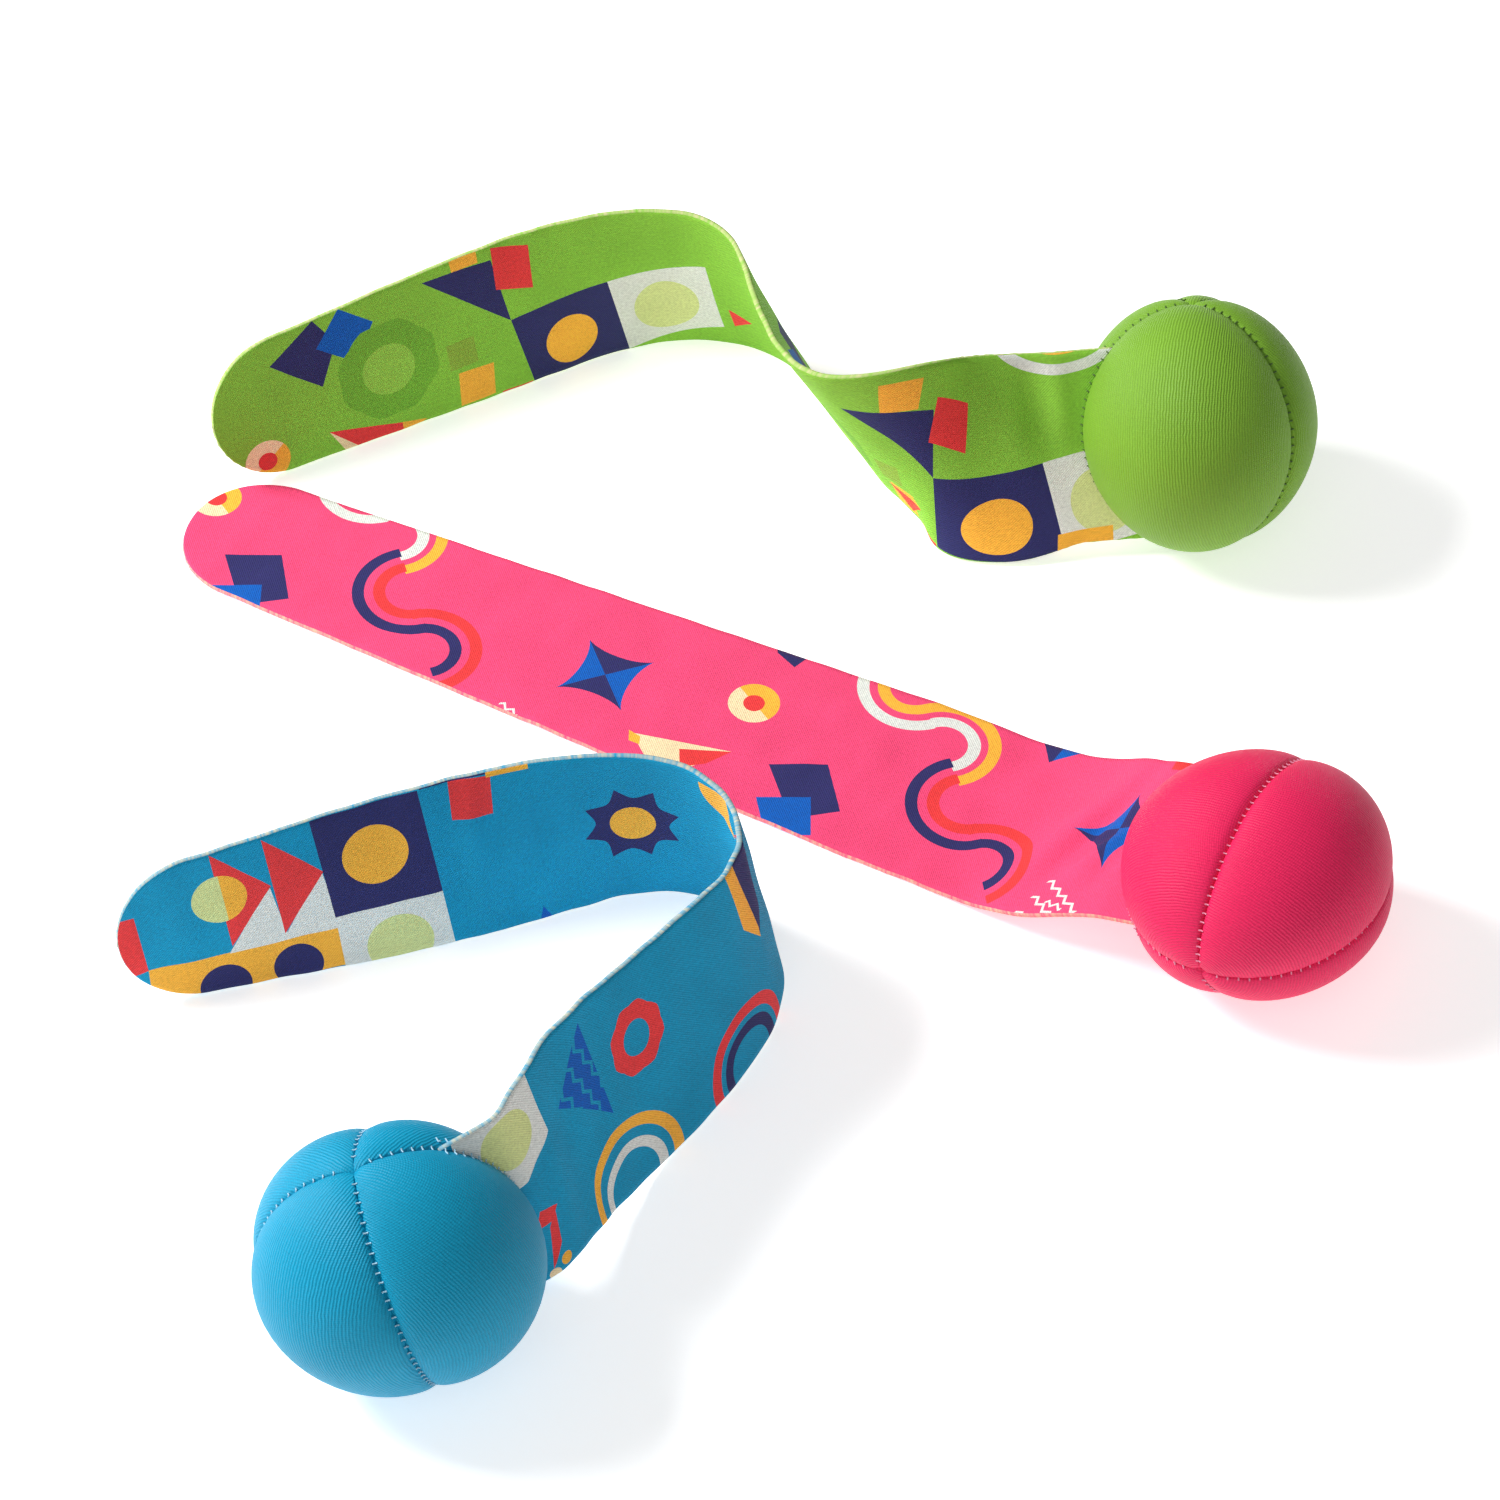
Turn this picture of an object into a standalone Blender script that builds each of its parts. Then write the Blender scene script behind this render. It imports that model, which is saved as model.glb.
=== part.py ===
"""Three soft tail balls, green, pink and blue, lying as a set.

Each one is a stuffed ball of four sewn panels, with a flat, tapered fabric tail sewn into one of the four seams.
The pink tail lies flat. The green and the blue tails stand on one long edge, in an S and in a U.
"""

import math

import bpy
import numpy as np

MM = 0.001

# Ball
SEAM_RADIUS = 28.5 * MM  # centre to a seam, at the equator
POLE_RADIUS = 31.8 * MM  # centre to a pole, where the four seams meet
PANEL_BULGE = 3.7 * MM  # how far the middle of a panel stands out past its seams
PANEL_THICKNESS = 2.0 * MM
SEAM_GAP = 0.3 * MM
POLE_OPENING = 1.0 * MM
FLOOR_PRESS = 0.9 * MM  # depth of the flattened patch that the ball rests on
FILLING_GAP = 0.2 * MM
THREAD_RADIUS = 0.35 * MM
THREAD_LIFT = 1.2  # a thread's centre is this many of its radii off the panels
THREAD_OFF_TAIL = 0.7 * MM
THREAD_END = 3.2 * MM  # each seam's thread ends this far from the pole's axis

# Tail
TAIL_LENGTH = 276 * MM
TAIL_THICKNESS = 1.5 * MM
TIP_RADIUS = 20 * MM
TIP_WIDTH = 40 * MM
BALL_END_WIDTH = 55 * MM
SEWN_WIDTH = 50 * MM  # the sewn end is gathered in to this
GATHER_LENGTH = 26 * MM
TAPER_LENGTH = 180 * MM  # measured from the tip; nearer the ball the tail keeps its width
ROOT_BLEND = 54 * MM  # length over which the tail settles from the seam to the floor
SQUARED_OFF = 20 * MM  # length over which the line across the tail turns square to it
ROOT_CLEARANCE = 0.6 * MM
SEWN_END = 2 * MM  # the rows of points run straight across from this far along the tail
HINGE_GAP = 0.3 * MM
HINGE_WEDGE = 1.3 * MM  # at the hinge the tail thins down over this length, so that it can fold
HINGE_THICKNESS = 0.2 * MM

SHIFT_MM = (-1.88, 27.73)  # moves the whole layout so that its box is centred on the origin

# Layout. Each tail path starts at the ball. A turn is (distance along the tail in mm, heading, lean, slant), in degrees:
# heading is counted from +X, lean is from upright towards the left of the heading, so 90 lies flat, and slant turns
# the line across the tail towards its tip.
ITEMS = {
    "green": {
        "centre": (113, 84),
        "squash": (0.98, 1.03, 0.96),
        "pole": (-0.06, 0.48, 0.87),
        "tail_side": (-1.0, -0.06, -0.04),
        "seams": (0, 143, 217, 289),
        "thread_side": 1,
        "root_shift": -4,
        "hinge_at": 160,
        "turns": (
            (0, 184, -30, 0),
            (12, 190, -37, 6),
            (26, 191, -28, 8),
            (38, 180, -13, 11),
            (49, 158, 8, 12),
            (60, 134, 22, 8),
            (72, 117, 27, 2),
            (86, 110, 28, 0),
            (102, 110, 25, 0),
            (120, 130, 18, 0),
            (132, 155, 11, 0),
            (144, 178, 5, 0),
            (160, 193, 0, 0),
            (180, 204, -8, 0),
            (210, 208, -12, 0),
            (276, 209, -12, 0),
        ),
        "colour": (0.21, 0.42, 0.04),
        "tail_colour": (0.24, 0.52, 0.05),
    },
    "pink": {
        "centre": (119, -63),
        "squash": (1.04, 0.95, 0.87),
        "pole": (-0.46, -0.88, -0.11),
        "tail_side": (-0.86, 0.45, -0.25),
        "seams": (0, 92, 168, 262),
        "thread_side": -1,
        "root_shift": -3,
        "hinge_at": 138,
        "turns": (
            (0, 154, 90, 0),
            (10, 144, 90, 0),
            (28, 144, 90, 0),
            (50, 150, 90, 0),
            (75, 153, 90, 0),
            (276, 153, 90, 0),
        ),
        "colour": (0.82, 0.05, 0.15),
        "tail_colour": (0.98, 0.09, 0.22),
    },
    "blue": {
        "centre": (-77, -175),
        "squash": (1.05, 0.98, 0.90),
        "pole": (-0.24, 0.10, 0.96),
        "tail_side": (0.83, 0.52, 0.15),
        "seams": (0, 61, 151, 248),
        "thread_side": -1,
        "root_shift": -3,
        "hinge_at": 150,
        "turns": (
            (0, 31, 8, 0),
            (10, 66, 14, 0),
            (30, 57, 17, 0),
            (60, 51, 16, 0),
            (80, 54, 13, 0),
            (95, 74, 11, 0),
            (112, 105, 11, 0),
            (130, 143, 8, 0),
            (142, 167, 3, 0),
            (152, 184, 0, 0),
            (168, 193, -8, 0),
            (190, 196, -15, 0),
            (215, 197, -17, 0),
            (245, 198, -12, 0),
            (276, 196, -9, 0),
        ),
        "colour": (0.01, 0.30, 0.50),
        "tail_colour": (0.01, 0.27, 0.48),
    },
}
THREAD_COLOUR = (0.80, 0.78, 0.72)
FILLING_COLOUR = (0.85, 0.84, 0.80)

ROUGHNESS = 0.85
EMPTY_SIZE = 0.01

# Fineness of the faceted solids
PANEL_STEPS = (10, 6)  # pole to pole, and seam to seam
THREAD_POINTS = 15
TAIL_COLUMNS = 8
INNER_ROWS = 19
OUTER_ROWS = 13
SEWN_ROWS = 4  # between the sewn end, which follows the seam, and the first straight row
TIP_TURNS = (12, 24, 36, 48, 59, 69, 77, 83)  # degrees round the tip's quarter circle
PATH_STEP = 1 * MM


def unit(vector):
    return vector / np.linalg.norm(vector)


def smoothstep(x):
    x = np.clip(x, 0, 1)
    return x * x * (3 - 2 * x)


def spline(x, knots_x, knots_y):
    """A smooth curve through the knots that doesn't overshoot between them (monotone cubic)."""
    kx, ky = np.asarray(knots_x, float), np.asarray(knots_y, float)
    h, slope = np.diff(kx), np.diff(ky) / np.diff(kx)
    m = np.zeros_like(ky)
    for i in range(1, len(kx) - 1):
        if slope[i - 1] * slope[i] > 0:
            a, b = 2 * h[i] + h[i - 1], h[i] + 2 * h[i - 1]
            m[i] = (a + b) / (a / slope[i - 1] + b / slope[i])
    m[0], m[-1] = slope[0], slope[-1]
    i = np.clip(np.searchsorted(kx, x) - 1, 0, len(h) - 1)
    t = np.clip((x - kx[i]) / h[i], 0, 1)
    return (
        ky[i] * (1 + 2 * t) * (1 - t) ** 2
        + ky[i + 1] * t * t * (3 - 2 * t)
        + h[i] * (m[i] * t * (1 - t) ** 2 + m[i + 1] * t * t * (t - 1))
    )


class Ball:
    """The frame and the outer surface of one ball. Latitude is from the equator, azimuth from the tail's seam."""

    def __init__(self, item):
        self.pole = unit(np.array(item["pole"]))
        side = np.array(item["tail_side"])
        self.side = unit(side - side @ self.pole * self.pole)
        self.third = np.cross(self.pole, self.side)
        self.seams = np.radians(item["seams"] + (360,))
        self.squash = np.array(item["squash"])
        self.centre = np.array([*(np.add(item["centre"], SHIFT_MM) * MM), 0.0])
        lat, azimuth = np.meshgrid(
            np.linspace(-np.pi / 2, np.pi / 2, 61), np.linspace(0, 2 * np.pi, 121)
        )
        lowest = self.point(self.radius(lat, azimuth), lat, azimuth)[..., 2].min()
        self.centre[2] = -lowest - FLOOR_PRESS

    def radius(self, lat, azimuth):
        azimuth = np.mod(azimuth, 2 * np.pi)
        i = np.clip(np.searchsorted(self.seams, azimuth, side="right") - 1, 0, 3)
        across = (azimuth - self.seams[i]) / (self.seams[i + 1] - self.seams[i])
        arch = np.sin(np.pi * np.clip(across, 0, 1)) ** 0.5 * np.cos(lat) ** 0.7
        point = np.abs(np.sin(lat)) ** 3
        return SEAM_RADIUS + (POLE_RADIUS - SEAM_RADIUS) * point + PANEL_BULGE * arch

    def point(self, radius, lat, azimuth):
        lat, azimuth, radius = (np.asarray(v)[..., None] for v in (lat, azimuth, radius))
        direction = (
            np.sin(lat) * self.pole
            + np.cos(lat) * np.cos(azimuth) * self.side
            + np.cos(lat) * np.sin(azimuth) * self.third
        )
        return self.centre + radius * direction * self.squash


def on_floor(points):
    """Flattens whatever would sink through the floor."""
    points = np.array(points)
    points[..., 2] = np.maximum(points[..., 2], 0)
    return points


def material_of(name, colour):
    material = bpy.data.materials.new(name)
    material.use_nodes = True
    shader = material.node_tree.nodes["Principled BSDF"]
    shader.inputs["Base Color"].default_value = (*colour, 1)
    shader.inputs["Roughness"].default_value = ROUGHNESS
    return material


def add_axis(name, place, parent=None):
    """An empty on a joint's axis, or in the middle of a ball. The pieces that it carries are parented to it."""
    axis = bpy.data.objects.new(name, None)
    axis.empty_display_size = EMPTY_SIZE
    parts.objects.link(axis)
    axis.parent = parent
    axis.location = place if parent is None else place - np.array(parent.matrix_world.translation)
    bpy.context.view_layer.update()
    return axis


def add_piece(name, data, colour, axis):
    """Links a mesh or curve, which is already in its axis's own coordinates."""
    obj = bpy.data.objects.new(name, data)
    obj.parent = axis
    parts.objects.link(obj)
    data.materials.append(material_of(name, colour))
    return obj


def add_mesh(name, points, faces, colour, axis):
    """A mesh from points in world coordinates."""
    mesh = bpy.data.meshes.new(name)
    place = np.array(axis.matrix_world.translation)
    mesh.from_pydata([tuple(p - place) for p in points], [], faces)
    mesh.shade_smooth()
    return add_piece(name, mesh, colour, axis)


def slab(name, top, bottom, colour, axis):
    """One closed body between two matching grids of points, given as arrays of rows by columns by 3."""
    rows, columns = top.shape[:2]
    count = rows * columns
    points = np.concatenate([top.reshape(-1, 3), bottom.reshape(-1, 3)])
    faces = []
    for r in range(rows - 1):
        for c in range(columns - 1):
            a, b = r * columns + c, (r + 1) * columns + c
            faces.append((a, b, b + 1, a + 1))
            faces.append((count + a, count + a + 1, count + b + 1, count + b))
    rim = [c for c in range(columns)]
    rim += [r * columns + columns - 1 for r in range(1, rows)]
    rim += [(rows - 1) * columns + c for c in range(columns - 2, -1, -1)]
    rim += [r * columns for r in range(rows - 2, 0, -1)]
    for a, b in zip(rim, rim[1:] + rim[:1]):
        faces.append((a, b, count + b, count + a))
    return add_mesh(name, points, faces, colour, axis)


def panel_grid(ball, number, gap):
    """Latitudes and azimuths over one panel, pole to pole by seam to seam, kept half a gap off each seam."""
    steps_lat, steps_across = PANEL_STEPS
    start, end = ball.seams[number], ball.seams[number + 1]
    top_lat = math.acos(POLE_OPENING / POLE_RADIUS)
    lat = np.linspace(-top_lat, top_lat, steps_lat + 1)[:, None]
    across = (1 - np.cos(np.linspace(0, np.pi, steps_across + 1)))[None, :] / 2
    inset = gap / 2 / (SEAM_RADIUS * np.cos(lat))
    azimuth = start + inset + (end - start - 2 * inset) * across
    return np.broadcast_to(lat, azimuth.shape), azimuth


def make_panel(name, ball, number, colour, axis):
    lat, azimuth = panel_grid(ball, number, SEAM_GAP)
    radius = ball.radius(lat, azimuth)
    outside = on_floor(ball.point(radius, lat, azimuth))
    inside = ball.point(radius - PANEL_THICKNESS, lat, azimuth)
    return slab(name, inside, outside, colour, axis)


def make_filling(name, ball, axis):
    """The stuffing, a closed body just inside the panels."""
    grids = [panel_grid(ball, number, 0) for number in range(4)]
    lat = np.concatenate([g[0][:, :-1] for g in grids], axis=1)
    azimuth = np.concatenate([g[1][:, :-1] for g in grids], axis=1)
    depth = PANEL_THICKNESS + FILLING_GAP
    points = list(ball.point(ball.radius(lat, azimuth) - depth, lat, azimuth).reshape(-1, 3))
    for end in (-1, 1):
        points.append(ball.point(POLE_RADIUS - depth, end * np.pi / 2, 0.0))
    rings, around = lat.shape
    south, north, last = len(points) - 2, len(points) - 1, (rings - 1) * around
    faces = []
    for i in range(around):
        j = (i + 1) % around
        faces.append((south, j, i))
        faces.append((north, last + i, last + j))
        for r in range(rings - 1):
            a, b = r * around, (r + 1) * around
            faces.append((a + i, a + j, b + j, b + i))
    return add_mesh(name, points, faces, FILLING_COLOUR, axis)


def make_thread(name, ball, number, tail_side, axis):
    """The stitching of one seam, simplified to one continuous thread laid along it, beside the tail if there is one."""
    beside = 0.0
    if number == 0:
        beside = tail_side * (TAIL_THICKNESS / 2 + 2 * THREAD_RADIUS + THREAD_OFF_TAIL)

    def seam_line(lat):
        azimuth = ball.seams[number] + beside / (SEAM_RADIUS * np.cos(lat) ** 0.5)
        edge = THREAD_RADIUS / (SEAM_RADIUS * np.cos(lat))
        under = np.maximum(ball.radius(lat, azimuth - edge), ball.radius(lat, azimuth + edge))
        return ball.point(under + THREAD_RADIUS * THREAD_LIFT, lat, azimuth)

    reach = math.acos(THREAD_END / POLE_RADIUS)
    lat = np.linspace(-reach, reach, 200)
    sunk = lat[seam_line(lat)[:, 2] < THREAD_RADIUS * THREAD_LIFT]  # it ends short of the floor
    first, last = max(sunk[sunk < 0], default=-reach), min(sunk[sunk > 0], default=reach)
    line = seam_line(np.linspace(first, last, THREAD_POINTS))
    curve = bpy.data.curves.new(name, "CURVE")
    curve.dimensions = "3D"
    curve.bevel_depth = THREAD_RADIUS
    curve.bevel_resolution = 0
    curve.use_fill_caps = True
    route = curve.splines.new("POLY")
    route.points.add(len(line) - 1)
    for point, place in zip(route.points, line - np.array(axis.matrix_world.translation)):
        point.co = (*place, 1)
    return add_piece(name, curve, THREAD_COLOUR, axis)


def tail_width(s):
    grown = np.clip((TAIL_LENGTH - s - TIP_RADIUS) / TAPER_LENGTH, 0, 1)
    flat = TIP_WIDTH + (BALL_END_WIDTH - TIP_WIDTH) * grown
    return flat - (BALL_END_WIDTH - SEWN_WIDTH) * (1 - smoothstep(s / GATHER_LENGTH))


class Path:
    """The middle line of one tail, and the direction across it, against the distance from the ball."""

    def __init__(self, item, ball):
        stations, headings, leans, slants = zip(*item["turns"])
        self.ball = ball
        start = ball.point(SEAM_RADIUS, 0.0, 0.0)
        start = start + item["root_shift"] * MM * ball.pole * ball.squash
        side, pole = ball.side * ball.squash, ball.pole * ball.squash
        self.s = np.arange(0, TAIL_LENGTH + PATH_STEP / 2, PATH_STEP)
        heading = np.radians(spline(self.s / MM, stations, headings))
        lean = np.radians(spline(self.s / MM, stations, leans))
        self.slant = np.radians(spline(self.s / MM, stations, slants))
        settled = smoothstep(self.s / ROOT_BLEND)[:, None]
        left = np.stack([-np.sin(heading), np.cos(heading), 0 * heading], 1)
        upright = np.array([0, 0, 1.0])
        leaned = np.cos(lean)[:, None] * upright + np.sin(lean)[:, None] * left
        across = (1 - settled) * unit(pole) + settled * leaned
        across /= np.linalg.norm(across, axis=1)[:, None]
        low = tail_width(self.s) / 2 * across[:, 2]
        low += TAIL_THICKNESS / 2 * np.sqrt(np.clip(1 - across[:, 2] ** 2, 0, 1))
        settled = settled[:, 0]
        z = (1 - settled) * (start[2] + side[2] * self.s) + settled * low
        z = np.maximum(z, low)
        rise = np.gradient(z, self.s)
        flat = np.sqrt(np.clip(1 - rise**2, 0.05, 1)) * PATH_STEP
        x = start[0] + np.r_[0, np.cumsum((np.cos(heading) * flat)[:-1])]
        y = start[1] + np.r_[0, np.cumsum((np.sin(heading) * flat)[:-1])]
        self.middle = np.stack([x, y, z], 1)
        self.along = np.gradient(self.middle, axis=0)
        self.along /= np.linalg.norm(self.along, axis=1)[:, None]
        squared = smoothstep(self.s / SQUARED_OFF)[:, None]
        across -= squared * (across * self.along).sum(1)[:, None] * self.along
        across /= np.linalg.norm(across, axis=1)[:, None]
        self.across = across + np.tan(self.slant)[:, None] * self.along
        normal = np.cross(self.along, across)
        reach = tail_width(self.s) / 2 * np.abs(self.across[:, 2])
        reach += TAIL_THICKNESS / 2 * np.abs(normal[:, 2])
        self.middle[:, 2] = np.maximum(self.middle[:, 2], reach)

    def at(self, s, v, offset):
        """The point at distance s along the tail, v across it and offset off its middle plane."""
        s, v, offset = np.broadcast_arrays(s, v, offset)
        pick = lambda a: np.stack([np.interp(s, self.s, a[:, k]) for k in range(3)], -1)
        middle, along, across = pick(self.middle), pick(self.along), pick(self.across)
        # Before the start of the path, beside the ball, the tail is straight.
        middle = middle + np.minimum(s, 0)[..., None] * along
        normal = np.cross(along, across)
        normal /= np.linalg.norm(normal, axis=-1)[..., None]
        return middle + v[..., None] * across + offset[..., None] * normal


def root_line(ball, item, v):
    """How far along the tail its sewn end lies, at each v across: it follows the round of the seam."""
    lat = np.linspace(-1.5, 1.5, 400)
    beside = TAIL_THICKNESS / 2 / (SEAM_RADIUS * np.cos(lat)) + 0.02
    radius = np.maximum(ball.radius(lat, beside), ball.radius(lat, -beside))
    radius += ROOT_CLEARANCE
    height = radius * np.sin(lat) - item["root_shift"] * MM
    height *= np.linalg.norm(ball.pole * ball.squash)
    reach = (radius * np.cos(lat) - SEAM_RADIUS) * np.linalg.norm(ball.side * ball.squash)
    return np.interp(v, height, reach)


def make_tail(name, item, ball, path, inner, axis):
    """Half of a tail: from the ball's seam to the hinge line, or from the hinge line to the rounded tip."""
    across = np.linspace(-1, 1, TAIL_COLUMNS + 1)[None, :]
    hinge = item["hinge_at"] * MM
    if inner:
        s = np.linspace(SEWN_END, hinge - HINGE_WEDGE, INNER_ROWS)
        s = np.r_[s, hinge - HINGE_GAP / 2][:, None]
        v = across * tail_width(s) / 2
        v_sewn = across * SEWN_WIDTH / 2
        sewn = root_line(ball, item, v_sewn)
        ease = np.linspace(0, 1, SEWN_ROWS + 1)[:-1, None]
        s = np.concatenate([sewn + (SEWN_END - sewn) * ease, np.broadcast_to(s, v.shape)])
        v = np.concatenate([np.repeat(v_sewn, SEWN_ROWS, axis=0), v])
        thinned = -1
    else:
        straight = np.linspace(hinge + HINGE_WEDGE, TAIL_LENGTH - TIP_RADIUS, OUTER_ROWS)
        turn = np.radians(np.array(TIP_TURNS))
        s = np.r_[hinge + HINGE_GAP / 2, straight, TAIL_LENGTH - TIP_RADIUS * (1 - np.sin(turn))]
        width = tail_width(s)
        width[-len(turn) :] = 2 * TIP_RADIUS * np.cos(turn)
        v = across * width[:, None] / 2
        s = np.broadcast_to(s[:, None], v.shape)
        thinned = 0
    half = np.full(s.shape, TAIL_THICKNESS / 2)
    half[thinned] = HINGE_THICKNESS / 2
    return slab(name, path.at(s, v, half), path.at(s, v, -half), item["tail_colour"], axis)


def make_item(name, item):
    ball = Ball(item)
    path = Path(item, ball)
    middle = add_axis(f"{name}_ball", ball.centre)
    for number in range(4):
        make_panel(f"{name}_panel_{number + 1}", ball, number, item["colour"], middle)
        make_thread(f"{name}_seam_{number + 1}", ball, number, item["thread_side"], middle)
    make_filling(f"{name}_filling", ball, middle)
    root = add_axis(f"{name}_root_axis", path.middle[0], middle)
    make_tail(f"{name}_tail_inner", item, ball, path, True, root)
    fold = add_axis(f"{name}_fold_axis", path.at(item["hinge_at"] * MM, 0.0, 0.0), root)
    make_tail(f"{name}_tail_outer", item, ball, path, False, fold)


for startup in list(bpy.data.objects):
    bpy.data.objects.remove(startup)
parts = bpy.data.collections.new("tail_balls")
bpy.context.scene.collection.children.link(parts)
for item_name, item in ITEMS.items():
    make_item(item_name, item)
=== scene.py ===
"""The look of the three soft tail balls, green, pink and blue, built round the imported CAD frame.

Each ball gets a cloth cover of four sewn gores, with stitching across its seams. Each tail is a
printed sheet with a cut edge, in two pieces: one takes the turn where it leaves the ball, and one
the fold.
"""

import math

import bpy
import numpy as np
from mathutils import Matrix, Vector
from mathutils.bvhtree import BVHTree


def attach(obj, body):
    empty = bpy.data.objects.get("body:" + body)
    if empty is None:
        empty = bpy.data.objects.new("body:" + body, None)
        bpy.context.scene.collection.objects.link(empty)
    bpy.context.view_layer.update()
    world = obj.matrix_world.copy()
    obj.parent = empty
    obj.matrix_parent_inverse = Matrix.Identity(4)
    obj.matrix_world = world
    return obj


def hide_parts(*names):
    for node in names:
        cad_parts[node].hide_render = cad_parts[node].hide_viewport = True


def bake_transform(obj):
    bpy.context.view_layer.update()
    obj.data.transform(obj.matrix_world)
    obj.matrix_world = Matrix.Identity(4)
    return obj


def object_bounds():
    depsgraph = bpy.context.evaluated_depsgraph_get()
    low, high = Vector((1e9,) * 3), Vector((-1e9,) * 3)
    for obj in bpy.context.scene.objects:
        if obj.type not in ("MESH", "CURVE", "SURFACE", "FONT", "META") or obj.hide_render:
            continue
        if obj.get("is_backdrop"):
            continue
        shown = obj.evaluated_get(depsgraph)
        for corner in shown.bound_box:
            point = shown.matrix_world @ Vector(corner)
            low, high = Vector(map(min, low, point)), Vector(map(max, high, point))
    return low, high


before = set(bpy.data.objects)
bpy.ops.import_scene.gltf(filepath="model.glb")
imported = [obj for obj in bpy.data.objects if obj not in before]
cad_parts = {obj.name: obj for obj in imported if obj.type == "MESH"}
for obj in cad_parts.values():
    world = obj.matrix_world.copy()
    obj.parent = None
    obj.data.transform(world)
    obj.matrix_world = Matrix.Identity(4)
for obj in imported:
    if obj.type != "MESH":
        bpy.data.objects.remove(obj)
cad_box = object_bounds()

MM = 0.001

# Ball, as in the CAD part
SEAM_RADIUS = 28.5 * MM
POLE_RADIUS = 31.8 * MM
PANEL_BULGE = 3.7 * MM
FLOOR_PRESS = 0.9 * MM

# Tail, as in the CAD part
TAIL_LENGTH = 276 * MM
TAIL_THICKNESS = 1.5 * MM
TIP_RADIUS = 20 * MM
TIP_WIDTH = 40 * MM
BALL_END_WIDTH = 55 * MM
SEWN_WIDTH = 50 * MM
GATHER_LENGTH = 26 * MM
TAPER_LENGTH = 180 * MM
ROOT_BLEND = 54 * MM
SQUARED_OFF = 20 * MM
ROOT_CLEARANCE = 0.6 * MM
SEWN_END = 2 * MM
PATH_STEP = 1 * MM
SHIFT_MM = (-1.88, 27.73)

# Layout. The centre, squash, pole, tail side, seams, shift, hinge and turns are the CAD part's.
# A turn is (distance along the tail in mm, heading, lean, slant), with the angles in degrees.
# join_at is where the two pieces of the tail meet, and fold_heading the direction across the fold.
# A crease is a soft fold in the fabric: (s, v, direction in degrees, half length, half width,
# height), in mm on the flat tail. ripple_seed picks the tail's small unevenness.
ITEMS = {
    "green": {
        "centre": (113, 84),
        "squash": (0.98, 1.03, 0.96),
        "pole": (-0.06, 0.48, 0.87),
        "tail_side": (-1.0, -0.06, -0.04),
        "seams": (0, 143, 217, 289),
        "root_shift": -4,
        "hinge_at": 160,
        "join_at": 94,
        "fold_heading": 190,
        "turns": (
            (0, 184, -30, 0),
            (12, 190, -37, 6),
            (26, 191, -28, 8),
            (38, 180, -13, 11),
            (49, 158, 8, 12),
            (60, 134, 22, 8),
            (72, 117, 27, 2),
            (86, 110, 28, 0),
            (102, 110, 25, 0),
            (120, 130, 18, 0),
            (132, 155, 11, 0),
            (144, 178, 5, 0),
            (160, 193, 0, 0),
            (180, 204, -8, 0),
            (210, 208, -12, 0),
            (276, 209, -12, 0),
        ),
        "creases": (
            (4, 14, 90, 14, 3.0, -1.3),
            (11, 14, 86, 14, 3.6, 1.4),
            (19, 10, 80, 14, 4, -0.9),
            (29, 6, 75, 16, 5, 0.7),
        ),
        "ripple_seed": 16,
        "ribs_along": True,
    },
    "pink": {
        "centre": (119, -63),
        "squash": (1.04, 0.95, 0.87),
        "pole": (-0.46, -0.88, -0.11),
        "tail_side": (-0.86, 0.45, -0.25),
        "seams": (0, 92, 168, 262),
        "root_shift": -3,
        "hinge_at": 138,
        "join_at": 100,
        "fold_heading": 153,
        "turns": (
            (0, 154, 90, 0),
            (10, 144, 90, 0),
            (28, 144, 90, 0),
            (50, 150, 90, 0),
            (75, 153, 90, 0),
            (276, 153, 90, 0),
        ),
        "creases": (
            (26, 1, 74, 17, 6, 2.4),
            (18, -2, 72, 16, 2.6, -2.2),
            (11, 6, 55, 10, 2.6, 1.8),
            (6, 10, 50, 8, 2.2, -1.5),
        ),
        "ripple_seed": 6,
        "ribs_along": False,
    },
    "blue": {
        "centre": (-77, -175),
        "squash": (1.05, 0.98, 0.90),
        "pole": (-0.24, 0.10, 0.96),
        "tail_side": (0.83, 0.52, 0.15),
        "seams": (0, 61, 151, 248),
        "root_shift": -3,
        "hinge_at": 150,
        "join_at": 68,
        "fold_heading": 168,
        "turns": (
            (0, 31, 8, 0),
            (10, 66, 14, 0),
            (30, 57, 17, 0),
            (60, 51, 16, 0),
            (80, 54, 13, 0),
            (95, 74, 11, 0),
            (112, 105, 11, 0),
            (130, 143, 8, 0),
            (142, 167, 3, 0),
            (152, 184, 0, 0),
            (168, 193, -8, 0),
            (190, 196, -15, 0),
            (215, 197, -17, 0),
            (245, 198, -12, 0),
            (276, 196, -9, 0),
        ),
        "creases": (
            (12, -6, 85, 18, 3.5, 0.8),
            (22, 0, 95, 20, 5, -0.7),
            (195, 0, 96, 30, 3, 0.5),
            (190, -2, 96, 30, 2.4, -0.4),
            (60, 5, 80, 18, 6, 0.5),
        ),
        "ripple_seed": 15,
        "ribs_along": True,
    },
}

# Cover
GORE_ROWS = 60
GORE_COLUMNS = 26
GORE_SPACING = 97  # mm between the flat patterns of two gores
POLE_FLAT = 0.5 * MM  # how much lower the cover is at its poles, where the gores meet
SLACK_SHAPE = 0.85  # the cover is cut this much flatter than it ends up, and pressure fills it out
PRESSURE = 4.0
SIMULATED_AT = 10  # times real size
SIMULATED_FRAMES = 20
MOST_SWELL = 0.9 * MM  # how far the simulation may move a point
PUCKER_DEPTH = 0.16 * MM
PUCKER_REACH = 2.4 * MM
SEAM_SUNK = 0.5 * MM  # how far the seams are drawn in

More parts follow.
